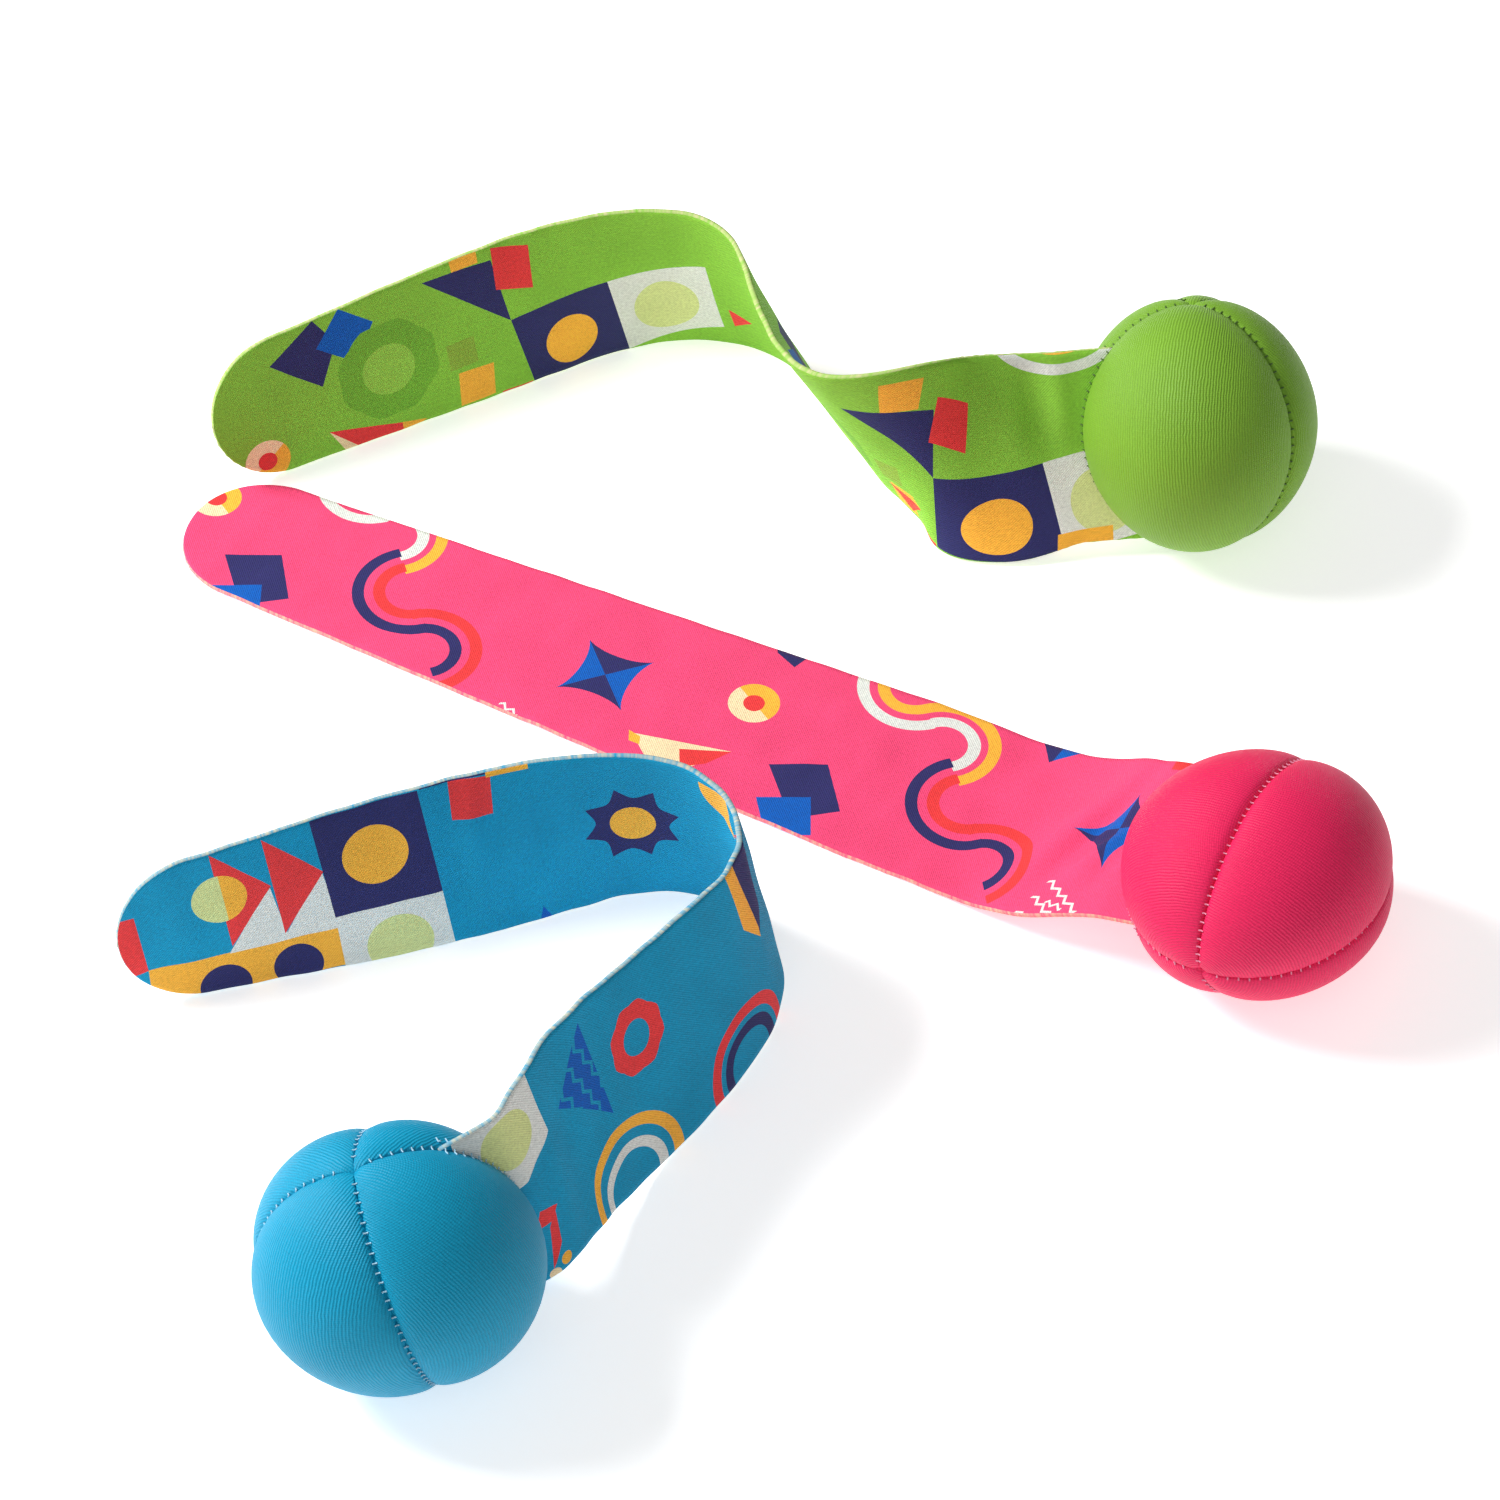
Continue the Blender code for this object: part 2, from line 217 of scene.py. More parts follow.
# Stitching
STITCHED_TO = 1.44  # latitude of the last stitches, in radians
STITCHED_RADIUS = SEAM_RADIUS + 1.5 * MM
STITCH_PITCH = 2.2 * MM
STITCH_HALF = 0.5 * MM
STITCH_RADIUS = 0.19 * MM
STITCH_OFF = 0.12 * MM
STITCH_DIP = 0.22 * MM
TAIL_STITCH = (1.9 * MM, 0.9 * MM)  # its two ends on the cover, from the face of the tail
TAIL_STITCH_UP = 0.5 * MM
TAIL_STITCH_IN = 0.55 * MM

# Tail cloth
TUCKED_IN = 2.2 * MM  # how far the tail runs on into the seam
CLOTH_COLUMNS = 36
CLOTH_ROW = 1.4 * MM
JOIN_ROW = 0.4 * MM  # the row next to the join of the two pieces
SEWN_ROWS = 8
EDGE_ROUND = 0.22 * MM
EDGE_FRAY = 0.16 * MM
FRAY_SEED = 5
RIPPLE = 0.18 * MM
TIP_STEPS = 22
ROOT_BEND = 14 * MM
EASE = 6 * MM
EASED_FROM = 12 * MM
REPEAT_START = -10  # mm along the tail

# Studio
FLOOR_DROP = 0.25 * MM
FLOOR_HALF = 15.0


def unit(vector):
    return vector / np.linalg.norm(vector)


def smoothstep(x):
    x = np.clip(x, 0, 1)
    return x * x * (3 - 2 * x)


def spline(x, knots_x, knots_y):
    """A smooth curve through the knots that doesn't overshoot between them (monotone cubic)."""
    kx, ky = np.asarray(knots_x, float), np.asarray(knots_y, float)
    h, slope = np.diff(kx), np.diff(ky) / np.diff(kx)
    m = np.zeros_like(ky)
    for i in range(1, len(kx) - 1):
        if slope[i - 1] * slope[i] > 0:
            a, b = 2 * h[i] + h[i - 1], h[i] + 2 * h[i - 1]
            m[i] = (a + b) / (a / slope[i - 1] + b / slope[i])
    m[0], m[-1] = slope[0], slope[-1]
    i = np.clip(np.searchsorted(kx, x) - 1, 0, len(h) - 1)
    t = np.clip((x - kx[i]) / h[i], 0, 1)
    return (
        ky[i] * (1 + 2 * t) * (1 - t) ** 2
        + ky[i + 1] * t * t * (3 - 2 * t)
        + h[i] * (m[i] * t * (1 - t) ** 2 + m[i + 1] * t * t * (t - 1))
    )


class Ball:
    """The axes and the outer surface of one ball.

    Latitude is from the equator, azimuth from the tail's seam.
    """

    def __init__(self, item):
        self.pole = unit(np.array(item["pole"]))
        side = np.array(item["tail_side"])
        self.side = unit(side - side @ self.pole * self.pole)
        self.third = np.cross(self.pole, self.side)
        self.seams = np.radians(item["seams"] + (360,))
        self.squash = np.array(item["squash"])
        self.centre = np.array([*(np.add(item["centre"], SHIFT_MM) * MM), 0.0])
        lat, azimuth = np.meshgrid(
            np.linspace(-np.pi / 2, np.pi / 2, 61), np.linspace(0, 2 * np.pi, 121)
        )
        lowest = self.point(self.radius(lat, azimuth), lat, azimuth)[..., 2].min()
        self.centre[2] = -lowest - FLOOR_PRESS

    def radius(self, lat, azimuth, bulge=PANEL_BULGE):
        azimuth = np.mod(azimuth, 2 * np.pi)
        i = np.clip(np.searchsorted(self.seams, azimuth, side="right") - 1, 0, 3)
        across = (azimuth - self.seams[i]) / (self.seams[i + 1] - self.seams[i])
        arch = np.sin(np.pi * np.clip(across, 0, 1)) ** 0.5 * np.cos(lat) ** 0.7
        point = np.abs(np.sin(lat)) ** 3
        return SEAM_RADIUS + (POLE_RADIUS - SEAM_RADIUS) * point + bulge * arch

    def direction(self, lat, azimuth):
        lat, azimuth = (np.asarray(v)[..., None] for v in (lat, azimuth))
        return (
            np.sin(lat) * self.pole
            + np.cos(lat) * np.cos(azimuth) * self.side
            + np.cos(lat) * np.sin(azimuth) * self.third
        ) * self.squash

    def point(self, radius, lat, azimuth):
        return self.centre + np.asarray(radius)[..., None] * self.direction(lat, azimuth)


def tail_width(s):
    grown = np.clip((TAIL_LENGTH - s - TIP_RADIUS) / TAPER_LENGTH, 0, 1)
    flat = TIP_WIDTH + (BALL_END_WIDTH - TIP_WIDTH) * grown
    return flat - (BALL_END_WIDTH - SEWN_WIDTH) * (1 - smoothstep(s / GATHER_LENGTH))


class Path:
    """The middle line of one tail and the direction across it, by distance from the ball."""

    def __init__(self, item, ball):
        stations, headings, leans, slants = zip(*item["turns"])
        start = ball.point(SEAM_RADIUS, 0.0, 0.0)
        start = start + item["root_shift"] * MM * ball.pole * ball.squash
        side, pole = ball.side * ball.squash, ball.pole * ball.squash
        self.s = np.arange(0, TAIL_LENGTH + PATH_STEP / 2, PATH_STEP)
        heading = np.radians(spline(self.s / MM, stations, headings))
        lean = np.radians(spline(self.s / MM, stations, leans))
        self.slant = np.radians(spline(self.s / MM, stations, slants))
        settled = smoothstep(self.s / ROOT_BLEND)[:, None]
        left = np.stack([-np.sin(heading), np.cos(heading), 0 * heading], 1)
        upright = np.array([0, 0, 1.0])
        leaned = np.cos(lean)[:, None] * upright + np.sin(lean)[:, None] * left
        across = (1 - settled) * unit(pole) + settled * leaned
        across /= np.linalg.norm(across, axis=1)[:, None]
        low = tail_width(self.s) / 2 * across[:, 2]
        low += TAIL_THICKNESS / 2 * np.sqrt(np.clip(1 - across[:, 2] ** 2, 0, 1))
        settled = settled[:, 0]
        z = (1 - settled) * (start[2] + side[2] * self.s) + settled * low
        z = np.maximum(z, low)
        rise = np.gradient(z, self.s)
        flat = np.sqrt(np.clip(1 - rise**2, 0.05, 1)) * PATH_STEP
        x = start[0] + np.r_[0, np.cumsum((np.cos(heading) * flat)[:-1])]
        y = start[1] + np.r_[0, np.cumsum((np.sin(heading) * flat)[:-1])]
        self.middle = np.stack([x, y, z], 1)
        self.along = np.gradient(self.middle, axis=0)
        self.along /= np.linalg.norm(self.along, axis=1)[:, None]
        squared = smoothstep(self.s / SQUARED_OFF)[:, None]
        across -= squared * (across * self.along).sum(1)[:, None] * self.along
        across /= np.linalg.norm(across, axis=1)[:, None]
        self.across = across + np.tan(self.slant)[:, None] * self.along
        normal = np.cross(self.along, across)
        reach = tail_width(self.s) / 2 * np.abs(self.across[:, 2])
        reach += TAIL_THICKNESS / 2 * np.abs(normal[:, 2])
        self.middle[:, 2] = np.maximum(self.middle[:, 2], reach)
        # The CAD path as cloth lies: the same line, with its sudden changes eased
        for name in ("middle", "across", "along"):
            setattr(self, name, self.eased(getattr(self, name)))

    def eased(self, values):
        """The values smoothed along the tail, except next to the ball, where they stay."""
        reach = int(3 * EASE / PATH_STEP)
        steps = np.arange(-reach, reach + 1)
        weights = np.exp(-((steps * PATH_STEP / EASE) ** 2) / 2)
        before = 2 * values[0] - values[reach:0:-1]
        after = 2 * values[-1] - values[-2 : -reach - 2 : -1]
        padded = np.concatenate([before, values, after])
        weights /= weights.sum()
        smooth = [np.convolve(padded[:, k], weights, "valid") for k in range(3)]
        smooth = np.stack(smooth, 1)
        share = smoothstep(self.s / EASED_FROM)[:, None]
        return values * (1 - share) + smooth * share

    def pick(self, values, s):
        return np.stack([np.interp(s, self.s, values[:, k]) for k in range(3)], -1)

    def at(self, s, v, offset):
        """The point at distance s along the tail, v across it and offset off its middle plane."""
        s, v, offset = np.broadcast_arrays(s, v, offset)
        middle, along, across = (self.pick(a, s) for a in (self.middle, self.along, self.across))
        middle = middle + np.minimum(s, 0)[..., None] * along
        normal = np.cross(along, across)
        normal /= np.linalg.norm(normal, axis=-1)[..., None]
        return middle + v[..., None] * across + offset[..., None] * normal


def root_line(ball, item, v):
    """How far along the tail its sewn end lies at each v: it follows the round of the seam."""
    lat = np.linspace(-1.5, 1.5, 400)
    beside = TAIL_THICKNESS / 2 / (SEAM_RADIUS * np.cos(lat)) + 0.02
    radius = np.maximum(ball.radius(lat, beside), ball.radius(lat, -beside))
    radius += ROOT_CLEARANCE
    height = radius * np.sin(lat) - item["root_shift"] * MM
    height *= np.linalg.norm(ball.pole * ball.squash)
    reach = (radius * np.cos(lat) - SEAM_RADIUS) * np.linalg.norm(ball.side * ball.squash)
    return np.interp(v, height, reach)


def ripple(s, v, seed):
    """A smooth, small unevenness, the same on each run."""
    waves = np.random.default_rng(seed).uniform([0.02, -0.05, 0], [0.09, 0.05, 6.28], (9, 3))
    return sum(np.sin(6.28 * (a * s / MM + b * v / MM) + c) for a, b, c in waves) / 4


def new_mesh(name, points, faces, uvs, materials, indices=None):
    """A mesh from points in metres, with one flat-pattern UV per face corner, in millimetres."""
    mesh = bpy.data.meshes.new(name)
    mesh.from_pydata([tuple(p) for p in points], [], faces)
    layer = mesh.uv_layers.new(name="Flat")
    layer.data.foreach_set("uv", np.asarray(uvs, np.float32).ravel())
    for material in materials:
        mesh.materials.append(material)
    if indices is not None:
        mesh.polygons.foreach_set("material_index", indices)
    mesh.shade_smooth()
    obj = bpy.data.objects.new(name, mesh)
    bpy.context.scene.collection.objects.link(obj)
    return obj


def sharpen(mesh, chosen):
    """Marks the edges whose two ends are both in chosen as sharp."""
    pairs = np.empty(len(mesh.edges) * 2, np.int32)
    mesh.edges.foreach_get("vertices", pairs)
    sharp = np.isin(pairs.reshape(-1, 2), list(chosen)).all(axis=1)
    layer = mesh.attributes.new("sharp_edge", "BOOLEAN", "EDGE")
    layer.data.foreach_set("value", sharp)


def coordinates(mesh):
    points = np.empty(len(mesh.vertices) * 3, np.float32)
    mesh.vertices.foreach_get("co", points)
    return points.reshape(-1, 3).astype(float)


def set_coordinates(obj, points):
    obj.data.vertices.foreach_set("co", np.asarray(points, np.float32).ravel())
    obj.data.update()


class Cover:
    """The cover of one ball: four gores that share the points of their seams."""

    def __init__(self, name, ball, material):
        self.ball = ball
        spaced = (1 - np.cos(np.linspace(0, np.pi, GORE_COLUMNS + 1))) / 2
        spaced = 0.5 * spaced + 0.5 * np.linspace(0, 1, GORE_COLUMNS + 1)
        azimuths = [
            a + (b - a) * spaced[:-1] for a, b in zip(ball.seams[:-1], ball.seams[1:])
        ]
        self.columns = 4 * GORE_COLUMNS
        lat = np.linspace(-np.pi / 2, np.pi / 2, GORE_ROWS + 1)[1:-1]
        self.lat, self.azimuth = np.meshgrid(lat, np.concatenate(azimuths), indexing="ij")
        rows = len(lat)
        south, north = rows * self.columns, rows * self.columns + 1
        radius = SEAM_RADIUS + PANEL_BULGE
        flat_u = np.r_[lat, -np.pi / 2, np.pi / 2] * radius / MM
        faces, uvs = [], []
        for column in range(self.columns):
            after = (column + 1) % self.columns
            gore, c = divmod(column, GORE_COLUMNS)
            wide = (ball.seams[gore + 1] - ball.seams[gore]) * radius / MM
            v0, v1 = (wide * (spaced[c + k] - 0.5) for k in (0, 1))
            middle = GORE_SPACING * gore

            def flat(row, v):
                return flat_u[row], v * math.cos(lat[row]) + middle

            for row in range(rows - 1):
                a, b = row * self.columns, (row + 1) * self.columns
                faces.append((a + column, a + after, b + after, b + column))
                uvs += [flat(row, v0), flat(row, v1), flat(row + 1, v1), flat(row + 1, v0)]
            last = (rows - 1) * self.columns
            faces.append((south, after, column))
            uvs += [(flat_u[rows], middle), flat(0, v1), flat(0, v0)]
            faces.append((north, last + column, last + after))
            uvs += [(flat_u[rows + 1], middle), flat(rows - 1, v0), flat(rows - 1, v1)]
        self.slack = self.shape(PANEL_BULGE * SLACK_SHAPE)
        self.obj = new_mesh(name, self.slack, faces, uvs, [material])
        seam_columns = range(0, self.columns, GORE_COLUMNS)
        self.seam_points = {r * self.columns + c for r in range(rows) for c in seam_columns}
        self.seam_points |= {south, north}
        sharpen(self.obj.data, self.seam_points)

    def shape(self, bulge):
        """All the points of the cover, with the gores standing out by bulge."""
        ball = self.ball
        radius = ball.radius(self.lat, self.azimuth, bulge)
        points = ball.point(radius, self.lat, self.azimuth)
        ends = [ball.point(POLE_RADIUS - POLE_FLAT, end * np.pi / 2, 0.0) for end in (-1, 1)]
        return np.concatenate([points.reshape(-1, 3), ends])

    def start_simulation(self):
        set_coordinates(self.obj, (self.slack - self.ball.centre) * SIMULATED_AT)
        pins = self.obj.vertex_groups.new(name="Seams")
        pins.add(sorted(self.seam_points), 1.0, "REPLACE")
        cloth = self.obj.modifiers.new("Cloth", "CLOTH")
        cloth.settings.quality = 6
        cloth.settings.mass = 0.3
        cloth.settings.tension_stiffness = 15
        cloth.settings.compression_stiffness = 15
        cloth.settings.shear_stiffness = 5
        cloth.settings.bending_stiffness = 1.0
        cloth.settings.vertex_group_mass = "Seams"
        cloth.settings.use_pressure = True
        cloth.settings.uniform_pressure_force = PRESSURE
        cloth.settings.effector_weights.gravity = 0
        cloth.point_cache.frame_start = 1
        cloth.point_cache.frame_end = SIMULATED_FRAMES

    def settle(self, simulated):
        """Takes the simulated shape, or the plain one if there is none.

        The stitches then pull it in at the seams, and it rests on the floor.
        """
        start = self.shape(PANEL_BULGE)
        if simulated is None:
            points = start
        else:
            points = simulated / SIMULATED_AT + self.ball.centre
            move = points - start
            length = np.linalg.norm(move, axis=1)[:, None]
            points = start + move * np.minimum(1, MOST_SWELL / np.maximum(length, 1e-9))
        out = points - self.ball.centre
        out /= np.linalg.norm(out, axis=1)[:, None]
        lat, azimuth = self.lat.ravel(), self.azimuth.ravel()
        nearest = np.abs(azimuth[:, None] - self.ball.seams[None, :]).min(axis=1)
        away = nearest * np.cos(lat) * SEAM_RADIUS
        beat = 0.5 + 0.5 * np.cos(2 * np.pi * lat * SEAM_RADIUS * 1.06 / STITCH_PITCH)
        pull = PUCKER_DEPTH * beat * np.exp(-((away / PUCKER_REACH) ** 2)) * (away > 0)
        points[:-2] -= pull[:, None] * out[:-2]
        sunk = sorted(self.seam_points)
        points[sunk] -= SEAM_SUNK * out[sunk]
        points[:, 2] = np.maximum(points[:, 2], 0)
        set_coordinates(self.obj, points)

    def surface(self):
        self.tree = BVHTree.FromPolygons(
            [Vector(p) for p in coordinates(self.obj.data)],
            [tuple(p.vertices) for p in self.obj.data.polygons],
        )

    def on_surface(self, lat, azimuth, off):
        """The point on the cover in this direction from the centre, moved out by off."""
        way = Vector(unit(self.ball.direction(lat, azimuth)))
        outside = Vector(self.ball.centre) + way * 80 * MM
        hit = self.tree.ray_cast(outside, -way)[0]
        return np.array(hit + way * off)


def simulate(covers):
    """Fills all the covers with pressure, with their seams held, and returns their points."""
    scene = bpy.context.scene
    for cover in covers:
        cover.start_simulation()
    scene.frame_start, scene.frame_end = 1, SIMULATED_FRAMES
    for number in range(1, SIMULATED_FRAMES + 1):
        scene.frame_set(number)
    graph = bpy.context.evaluated_depsgraph_get()
    shapes = []
    for cover in covers:
        shapes.append(coordinates(cover.obj.evaluated_get(graph).to_mesh()))
    for cover in covers:
        cover.obj.modifiers.clear()
        cover.obj.vertex_groups.clear()
    scene.frame_set(1)
    return shapes


def stitch_curve(name, lines, material):
    """Short stitches, each one a thread along its own few points."""
    curve = bpy.data.curves.new(name, "CURVE")
    curve.dimensions = "3D"
    curve.bevel_depth = STITCH_RADIUS
    curve.bevel_resolution = 1
    curve.use_fill_caps = True
    for line in lines:
        route = curve.splines.new("POLY")
        route.points.add(len(line) - 1)
        for point, place in zip(route.points, line):
            point.co = (*place, 1)
    curve.materials.append(material)
    obj = bpy.data.objects.new(name, curve)
    bpy.context.scene.collection.objects.link(obj)
    return obj


def stitches(name, cover, path, number, material):
    """The stitching of one seam. Where the tail is sewn in, it joins the cover to each face."""
    ball = cover.ball
    seam = ball.seams[number]
    across = unit(ball.pole * ball.squash)
    lines = []
    count = int(2 * STITCHED_TO * STITCHED_RADIUS / STITCH_PITCH)
    for lat in np.linspace(-STITCHED_TO, STITCHED_TO, count):
        narrow = SEAM_RADIUS * math.cos(lat)
        out = unit(ball.direction(lat, seam))
        v = (ball.point(STITCHED_RADIUS, lat, seam) - path.middle[0]) @ across
        if number == 0 and abs(v) < SEWN_WIDTH / 2 + 0.5 * MM:
            for side in (-1, 1):
                ends = [side * (TAIL_THICKNESS / 2 + end) / narrow for end in TAIL_STITCH]
                line = [cover.on_surface(lat, seam + end, STITCH_OFF) for end in ends]
                inward = unit(ball.direction(lat, seam) - ball.direction(lat, seam + side * 0.1))
                lines.append([*line, line[-1] + out * TAIL_STITCH_UP + inward * TAIL_STITCH_IN])
            continue
        half = min(STITCH_HALF, 0.25 * narrow) / narrow
        a, b = (cover.on_surface(lat, seam + side * half, STITCH_OFF) for side in (-1, 1))
        low = (a + b) / 2 - out * STITCH_DIP
        if min(a[2], b[2], low[2]) > STITCH_RADIUS:
            lines.append([a, a * 0.7 + low * 0.3, low, b * 0.7 + low * 0.3, b])
    return stitch_curve(name, lines, material)


def crease_height(item, s, v):
    """How far the soft folds and the ripple lift the tail off its smooth path."""
    s, v = np.broadcast_arrays(s, v)
    height = RIPPLE * ripple(s, v, item["ripple_seed"])
    for at_s, at_v, direction, long, wide, peak in item["creases"]:
        turn = math.radians(direction)
        ds, dv = s / MM - at_s, v / MM - at_v
        x = ds * math.cos(turn) + dv * math.sin(turn)
        y = -ds * math.sin(turn) + dv * math.cos(turn)
        height = height + peak * MM * np.exp(-((x / long) ** 2) - (y / wide) ** 2)
    return height * smoothstep((s - 1 * MM) / (8 * MM))


def tail_piece(name, item, ball, path, root, materials):
    """One of the two pieces of a tail, a closed sheet: from the seam, or to the tip."""
    columns = np.linspace(-1, 1, CLOTH_COLUMNS + 1)[None, :]
    join = item["join_at"] * MM
    if root:
        straight = np.arange(SEWN_END, join - CLOTH_ROW, CLOTH_ROW)
        rows = np.r_[straight, join - JOIN_ROW, join][:, None]
        v = columns * tail_width(rows) / 2
        v_sewn = columns * SEWN_WIDTH / 2
        sewn = root_line(ball, item, v_sewn) - TUCKED_IN
        ease = np.linspace(0, 1, SEWN_ROWS + 1)[:-1, None]
        s = np.concatenate([sewn + (SEWN_END - sewn) * ease, np.broadcast_to(rows, v.shape)])
        v = np.concatenate([np.repeat(v_sewn, SEWN_ROWS, axis=0), v])
    else:
        straight = np.arange(join + CLOTH_ROW, TAIL_LENGTH - TIP_RADIUS, CLOTH_ROW)
        turn = np.radians(np.linspace(0, 87, TIP_STEPS))
        tip = TAIL_LENGTH - TIP_RADIUS * (1 - np.sin(turn))
        rows = np.r_[join, join + JOIN_ROW, straight, tip]
        width = tail_width(rows)
        width[-TIP_STEPS:] = 2 * TIP_RADIUS * np.cos(turn)
        v = columns * width[:, None] / 2
        s = np.broadcast_to(rows[:, None], v.shape)
    height = crease_height(item, s, v)
    half = TAIL_THICKNESS / 2 * (0.9 + 0.1 * np.sqrt(np.clip(1 - columns**4, 0, 1)))
    top, bottom = path.at(s, v, height + half), path.at(s, v, height - half)
    lift = np.maximum(-np.minimum(top[..., 2], bottom[..., 2]), 0)
    top[..., 2] += lift
    bottom[..., 2] += lift
    count, wide = s.size, s.shape[1]
    flat_u = (s + v * np.tan(np.interp(s, path.s, path.slant))) / MM
    flat = np.stack([flat_u, v / MM], -1).reshape(-1, 2)
    points = [top.reshape(-1, 3), bottom.reshape(-1, 3)]
    last = s.shape[0] - 1

    def grid(row, column):
        return row * wide + column

    rim = [grid(0, c) for c in range(wide)] + [grid(r, wide - 1) for r in range(1, last + 1)]
    rim += [grid(last, c) for c in range(wide - 2, -1, -1)]
    rim += [grid(r, 0) for r in range(last - 1, 0, -1)]
    join_row = last if root else 0
    middle = (points[0][rim] + points[1][rim]) / 2
    before, after = np.roll(middle, 1, axis=0), np.roll(middle, -1, axis=0)
    normal = points[0][rim] - points[1][rim]
    outward = np.cross(normal, after - before)
    outward /= np.linalg.norm(outward, axis=1)[:, None]
    inside = (top[last // 2, wide // 2] + bottom[last // 2, wide // 2]) / 2
    probe = rim.index(grid(last // 2, wide - 1))
    if (middle[probe] - inside) @ outward[probe] < 0:
        outward = -outward
    fray = EDGE_ROUND + EDGE_FRAY * ripple(np.arange(len(rim)) * 7 * MM, 0.0, FRAY_SEED)
    fray = fray * np.array([i // wide != join_row for i in rim])
    middle = middle + outward * fray[:, None]
    middle[:, 2] = np.maximum(middle[:, 2], 0)
    points = np.concatenate([*points, middle])
    faces, uvs, indices = [], [], []
    for r in range(last):
        for c in range(wide - 1):
            a, b = grid(r, c), grid(r + 1, c)
            corners = (a, b, b + 1, a + 1)
            faces.append(corners)
            faces.append(tuple(count + i for i in reversed(corners)))
            uvs += [flat[i] for i in corners] + [flat[i] for i in reversed(corners)]
            indices += [0, 1]
    for k, a in enumerate(rim):
        n = (k + 1) % len(rim)
        b = rim[n]
        faces.append((a, b, 2 * count + n, 2 * count + k))
        faces.append((2 * count + k, 2 * count + n, count + b, count + a))
        uvs += [flat[a], flat[b], flat[b], flat[a]] * 2
        indices += [2, 2]
    obj = new_mesh(name, points, faces, uvs, materials, indices)
    row = {grid(join_row, c) for c in range(wide)}
    sharpen(obj.data, row | {count + i for i in row})
    return obj


def linear(*srgb):
    """A colour given as 8-bit sRGB, in linear light."""
    shares = [x / 255 for x in srgb]
    return tuple(x / 12.92 if x <= 0.04 else ((x + 0.055) / 1.055) ** 2.4 for x in shares)


